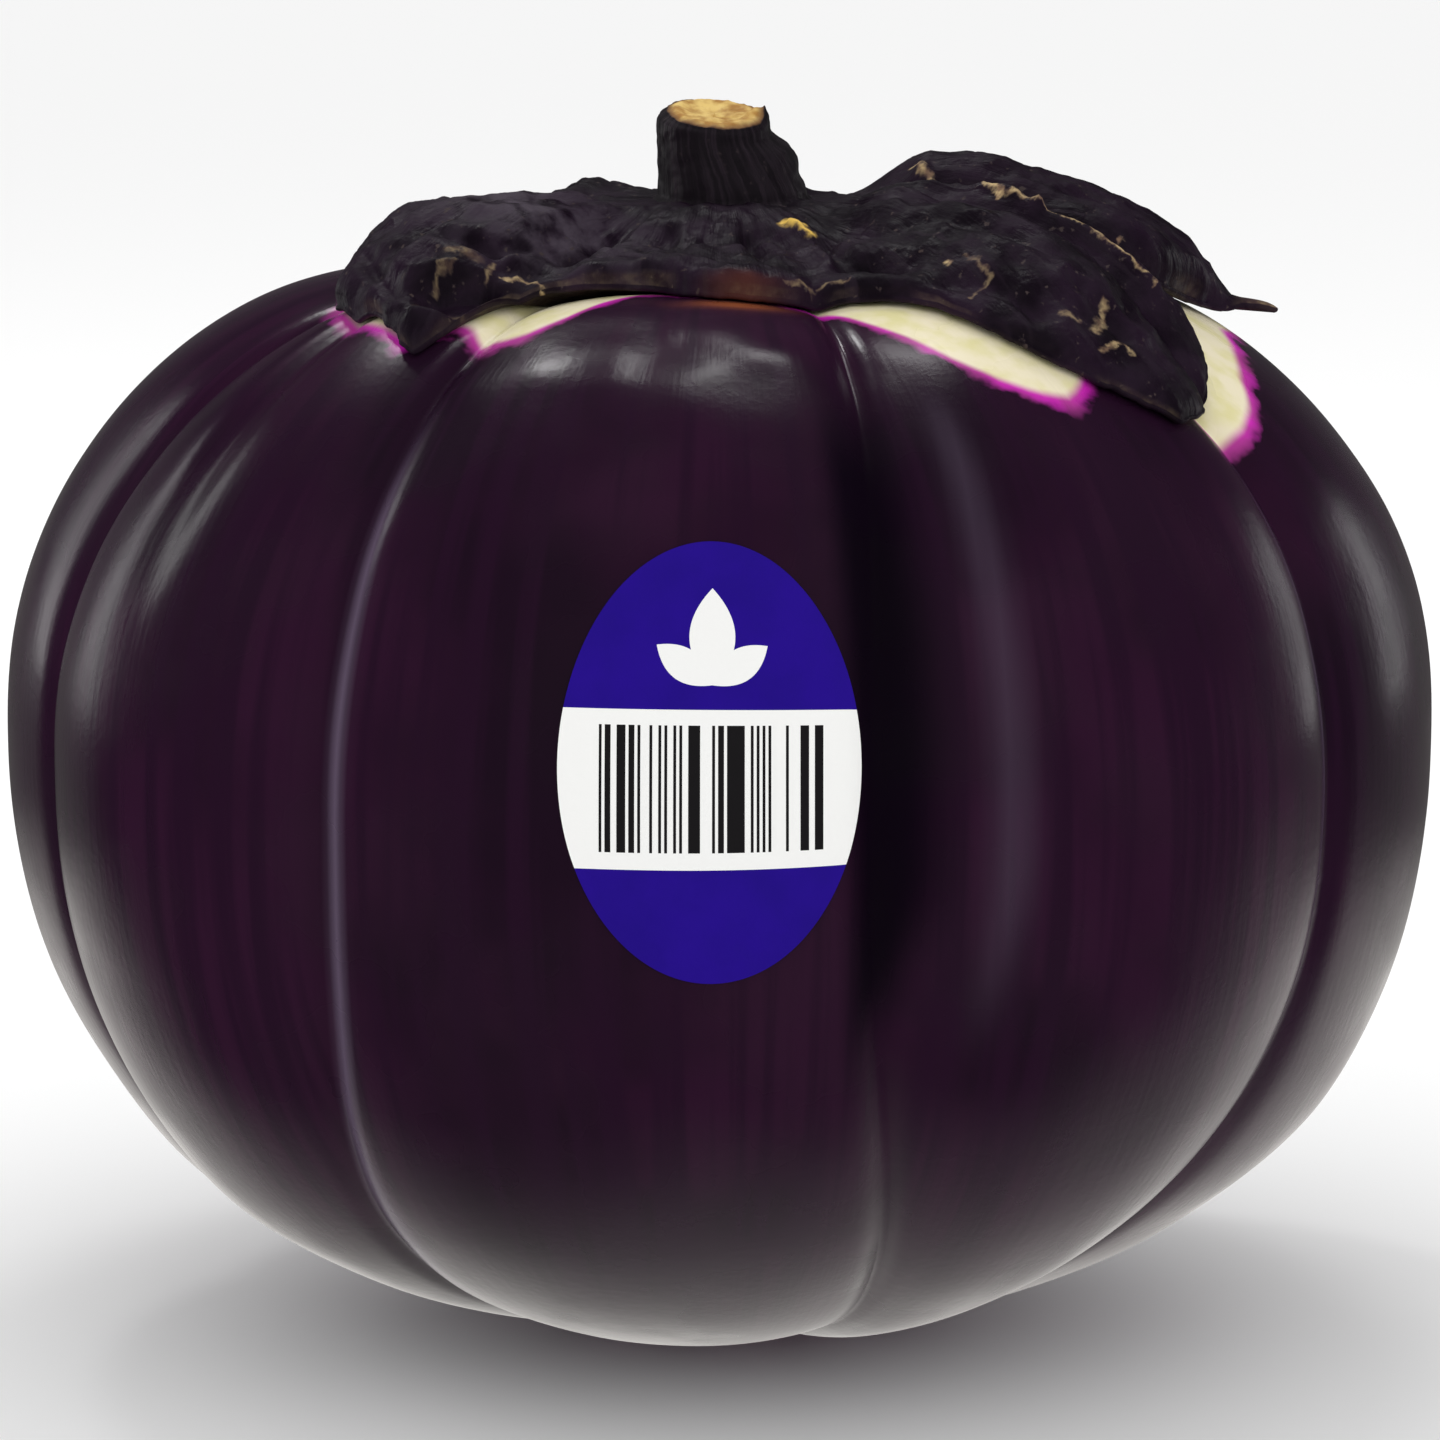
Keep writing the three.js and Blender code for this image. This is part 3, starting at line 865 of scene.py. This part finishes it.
def make_bark_finish():
    finish, tree, shader = new_finish("stem_bark")
    bark = blend(tree, fibres(tree, 12, 0.8, 0.42, 0.75), colour(26, 16, 26), colour(42, 30, 41))
    bark = blend(tree, mottle(tree, 1.4 * MM, 0.62, 0.8), bark, colour(66, 52, 54))
    straw = blend(
        tree, mottle(tree, 2.2 * MM, 0.35, 0.65), colour(226, 194, 116), colour(172, 124, 56)
    )
    ring = ranged(tree, noted(tree, "from_pith"), 0.8, 0.98)
    cut = blend(tree, ring, straw, colour(120, 84, 48))
    whole = blend(tree, noted(tree, "cut_face"), bark, cut)
    relief = fibres(tree, 26, 3, 0.3, 0.7)
    complete_finish(
        tree, shader, whole, shine=0.25, dull=(0.5, 0.75), patches=2 * MM,
        relief=relief, strength=0.16, depth=0.25 * MM,
    )
    return finish


stem = make_stem()
stem.data.materials.append(make_bark_finish())
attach(stem, "root")
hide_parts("stem")

# ---- Sticker ---------------------------------------------------------------------------
# A die-cut oval of coated white paper, glued flat on the front rib. It is printed violet at
# both ends, with a sprig of three leaves left white, and plain bars on the white band.

sticker_low, sticker_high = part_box("sticker")
sticker_middle = (sticker_low.z + sticker_high.z) / 2
sticker_half_height = (sticker_high.z - sticker_low.z) / 2
sticker_half_width = (sticker_high.x - sticker_low.x) / 2
sticker_azimuth = -0.5
paper_thickness = 0.1 * MM
glue_gap = 0.04 * MM

# The print, as shares of the oval's half width and half height from its middle.
band_foot = -0.46
band_top = 0.27
bars_foot = -0.38
bars_top = 0.2
bars_middle = 0.02
bars_half_width = 0.75
bar_slots = 52.0
sprig_foot = 0.38
sprig_narrowing = 0.68
sprig_leaves = ((0.0, 0.42), (0.95, 0.3), (-0.95, 0.3))
leaf_plumpness = 0.24


def latitude_at_level(level):
    """Latitude of the skin at a height over the table."""
    above = level - belly_level
    rise = np.where(above > 0, crown_rise, base_drop)
    return np.sign(above) * np.arcsin((np.abs(above) / rise) ** (roundness / 2))


def sticker_rings(ring, angle, height):
    """Points of the oval at a share of the way out from its middle, above the skin."""
    up = ring * np.sin(angle)
    right = ring * np.cos(angle)
    latitude = latitude_at_level(sticker_middle + sticker_half_height * up)
    radius = half_width * np.cos(latitude) ** (2 / roundness)
    turn = np.degrees(np.arcsin(sticker_half_width * right / radius))
    points, out = skin(sticker_azimuth + turn, latitude)
    return points + out * height, right, up


def make_sticker():
    columns = 180
    rows = 44
    angle = np.linspace(0, 2 * math.pi, columns + 1)[None, :-1]
    ring = np.linspace(0, 1, rows + 1)[1:, None]
    under, under_right, under_up = sticker_rings(ring, angle, glue_gap)
    over, right, up = sticker_rings(ring[::-1], angle, glue_gap + paper_thickness)
    low_pole, _, _ = sticker_rings(np.array([0.0]), np.array([0.0]), glue_gap)
    high_pole, _, _ = sticker_rings(np.array([0.0]), np.array([0.0]), glue_gap + paper_thickness)
    rings = np.concatenate([under, over])
    sticker = swept_mesh("sticker_paper", rings, low_pole[0], high_pole[0])
    note_on_mesh(sticker, "print_right", np.concatenate([under_right, right]), 0, 0)
    note_on_mesh(sticker, "print_up", np.concatenate([under_up, up]), 0, 0)
    sticker.data.set_sharp_from_angle(angle=math.radians(50))
    return sticker


def make_leaf_print_group():
    """One printed leaf: 1 inside a pointed oval that is turned about its stalk."""
    tree, given, out = shader_group("leaf_print", {"Place": None, "Turn": 0.0, "Length": 0.3})
    inputs = {"Vector": given.outputs["Place"], "Angle": given.outputs["Turn"]}
    turned = shader_node(tree, "VectorRotate", inputs, rotation_type="Z_AXIS")
    parts = shader_node(tree, "SeparateXYZ", {0: turned.outputs[0]})
    share = figure(tree, "DIVIDE", parts.outputs[1], given.outputs["Length"])
    centred = figure(tree, "MULTIPLY_ADD", share, 2.0, -1.0)
    taper = figure(tree, "SUBTRACT", 1.0, figure(tree, "MULTIPLY", centred, centred))
    widest = figure(tree, "MULTIPLY", given.outputs["Length"], leaf_plumpness)
    half_width_here = figure(tree, "MULTIPLY", taper, widest)
    off = figure(tree, "ABSOLUTE", parts.outputs[0])
    tree.links.new(figure(tree, "LESS_THAN", off, half_width_here), out.inputs["Mask"])
    return tree


def between(tree, value, low, high):
    """1 where the value lies between low and high."""
    above = figure(tree, "GREATER_THAN", value, low)
    return figure(tree, "MULTIPLY", above, figure(tree, "LESS_THAN", value, high))


def make_print_finish():
    finish, tree, shader = new_finish("printed_paper")
    right = noted(tree, "print_right")
    up = noted(tree, "print_up")
    band = between(tree, up, band_foot, band_top)

    slot = figure(tree, "FLOOR", figure(tree, "MULTIPLY", right, bar_slots))
    chance = shader_node(tree, "TexWhiteNoise", {"W": slot}, noise_dimensions="1D")
    inked = figure(tree, "GREATER_THAN", chance.outputs["Value"], 0.5)
    beside = between(tree, right, bars_middle - bars_half_width, bars_middle + bars_half_width)
    within = figure(tree, "MULTIPLY", beside, between(tree, up, bars_foot, bars_top))
    bars = figure(tree, "MULTIPLY", inked, within)

    leaf_print = make_leaf_print_group()
    narrowed = figure(tree, "MULTIPLY", right, sprig_narrowing)
    raised = figure(tree, "SUBTRACT", up, sprig_foot)
    place = shader_node(tree, "CombineXYZ", {0: narrowed, 1: raised}).outputs[0]
    sprig = 0.0
    for turn, length in sprig_leaves:
        inputs = {"Place": place, "Turn": turn, "Length": length}
        leaf = shader_node(tree, "Group", inputs, node_tree=leaf_print).outputs[0]
        sprig = figure(tree, "MAXIMUM", sprig, leaf)

    violet = blend(tree, mottle(tree, 6 * MM, 0.3, 0.7), colour(34, 0, 140), colour(30, 0, 132))
    bare = figure(tree, "MAXIMUM", band, sprig)
    printed = blend(tree, bare, violet, colour(246, 246, 244))
    printed = blend(tree, bars, printed, colour(28, 26, 28))
    tooth = mottle(tree, 0.5 * MM, 0.3, 0.7)
    complete_finish(
        tree, shader, printed, shine=0.1, dull=(0.5, 0.6), patches=2 * MM,
        relief=tooth, strength=0.08, depth=0.1 * MM,
    )
    return finish


sticker = make_sticker()
sticker.data.materials.append(make_print_finish())
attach(sticker, "root")
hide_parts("sticker")

# ---- Studio ----------------------------------------------------------------------------
# A white table under soft light from above, from both sides and from behind, with nothing
# bright on the camera's side, so that the dark skin keeps its colour and shines at its edges.

table_reach = 12.0


def make_table():
    """A white table. In the skin's reflections it is a painted glow in place of the lit table:
    bright behind and beside the fruit, a little dimmer under it as painted shade, dark in front and
    fading far off.
    """
    mesh = bpy.data.meshes.new("table")
    corners = [(-1, -1), (1, -1), (1, 1), (-1, 1)]
    points = [(table_reach * x, table_reach * y, 0) for x, y in corners]
    mesh.from_pydata(points, [], [(0, 1, 2, 3)])
    table = bpy.data.objects.new("table", mesh)
    bpy.context.scene.collection.objects.link(table)
    finish = bpy.data.materials.new("white_table")
    finish.use_nodes = True
    tree = finish.node_tree
    tree.nodes.remove(tree.nodes["Principled BSDF"])
    seen = shader_node(tree, "BsdfDiffuse", {"Color": (0.92, 0.92, 0.92, 1)})
    place = shader_node(tree, "TexCoord").outputs["Object"]
    parts = shader_node(tree, "SeparateXYZ", {0: place})
    aside = figure(tree, "ABSOLUTE", parts.outputs[0])
    depth = figure(tree, "MULTIPLY_ADD", aside, -0.4, parts.outputs[1])
    depth = figure(tree, "MULTIPLY_ADD", parts.outputs[0], 0.18, depth)
    # Painted reflection: the glow that the skin mirrors, with painted shade under the fruit.
    behind = ranged(tree, depth, -0.1, -0.018, 0.02, 1)
    out = arrow(tree, "LENGTH", place, result="Value")
    under = ranged(tree, out, 0.04, 0.085, 1.25, 1.4)
    fading = ranged(tree, out, 0.1, 0.3, 1, 0.1)
    level = figure(tree, "MULTIPLY", figure(tree, "MULTIPLY", behind, under), fading)
    glow_in_reflections = shader_node(tree, "Emission", {"Color": (1, 0.97, 0.93, 1), "Strength": level})
    glossy_ray = shader_node(tree, "LightPath").outputs["Is Glossy Ray"]
    inputs = {0: glossy_ray, 1: seen.outputs[0], 2: glow_in_reflections.outputs[0]}
    both = shader_node(tree, "MixShader", inputs)
    tree.links.new(both.outputs[0], tree.nodes["Material Output"].inputs["Surface"])
    mesh.materials.append(finish)


def make_sky():
    """White all round for the table, and dim towards the camera in the skin's reflections."""
    world = bpy.data.worlds.new("studio_sky")
    bpy.context.scene.world = world
    world.use_nodes = True
    tree = world.node_tree
    direction = shader_node(tree, "TexCoord").outputs["Generated"]
    parts = shader_node(tree, "SeparateXYZ", {0: direction})
    behind = ranged(tree, parts.outputs[1], -0.3, 0.8, 0.01, 0.1)
    low = ranged(tree, parts.outputs[2], -0.1, 0.5, 1, 0.15)
    glow_in_reflections = figure(tree, "MULTIPLY", behind, low)
    glossy_ray = shader_node(tree, "LightPath").outputs["Is Glossy Ray"]
    inputs = {"Factor": glossy_ray, "A": 1.0, "B": glow_in_reflections}
    level = shader_node(tree, "Mix", inputs, data_type="FLOAT").outputs[0]
    tree.links.new(level, tree.nodes["Background"].inputs["Strength"])
    tree.nodes["Background"].inputs["Color"].default_value = (1, 1, 1, 1)


def aim(item, place, target):
    """Puts a light or the camera in its place, turned to face the target."""
    item.location = place
    item.rotation_euler = (Vector(target) - Vector(place)).to_track_quat("-Z", "Y").to_euler()
    bpy.context.scene.collection.objects.link(item)


def add_softbox(name, place, size, power):
    light = bpy.data.lights.new(name, "AREA")
    light.shape = "RECTANGLE"
    light.size, light.size_y = size
    light.energy = power
    aim(bpy.data.objects.new(name, light), place, (0, 0, belly_level))


camera_distance = 0.7
camera_tilt = math.radians(10)
camera_target = Vector((0.0001, 0, belly_level + 0.0005))


def add_camera():
    """Long lens, a little above the fruit, square to its front."""
    camera = bpy.data.cameras.new("camera")
    camera.lens = 166
    camera.sensor_width = 36
    camera.dof.use_dof = False
    away = Vector((0, -math.cos(camera_tilt), math.sin(camera_tilt)))
    item = bpy.data.objects.new("camera", camera)
    aim(item, camera_target + camera_distance * away, camera_target)
    bpy.context.scene.camera = item


make_table()
make_sky()
add_softbox("overhead_softbox", (0.06, 0.3, 0.75), (0.18, 0.14), 0.45)
add_softbox("small_softbox", (-0.22, 0.42, 0.75), (0.08, 0.12), 0.6)
add_softbox("left_softbox", (-0.75, 0.5, 0.3), (0.25, 0.6), 0.9)
add_softbox("right_softbox", (0.75, 0.55, 0.15), (0.2, 0.4), 0.4)
add_camera()
bpy.context.scene.view_settings.view_transform = "Standard"
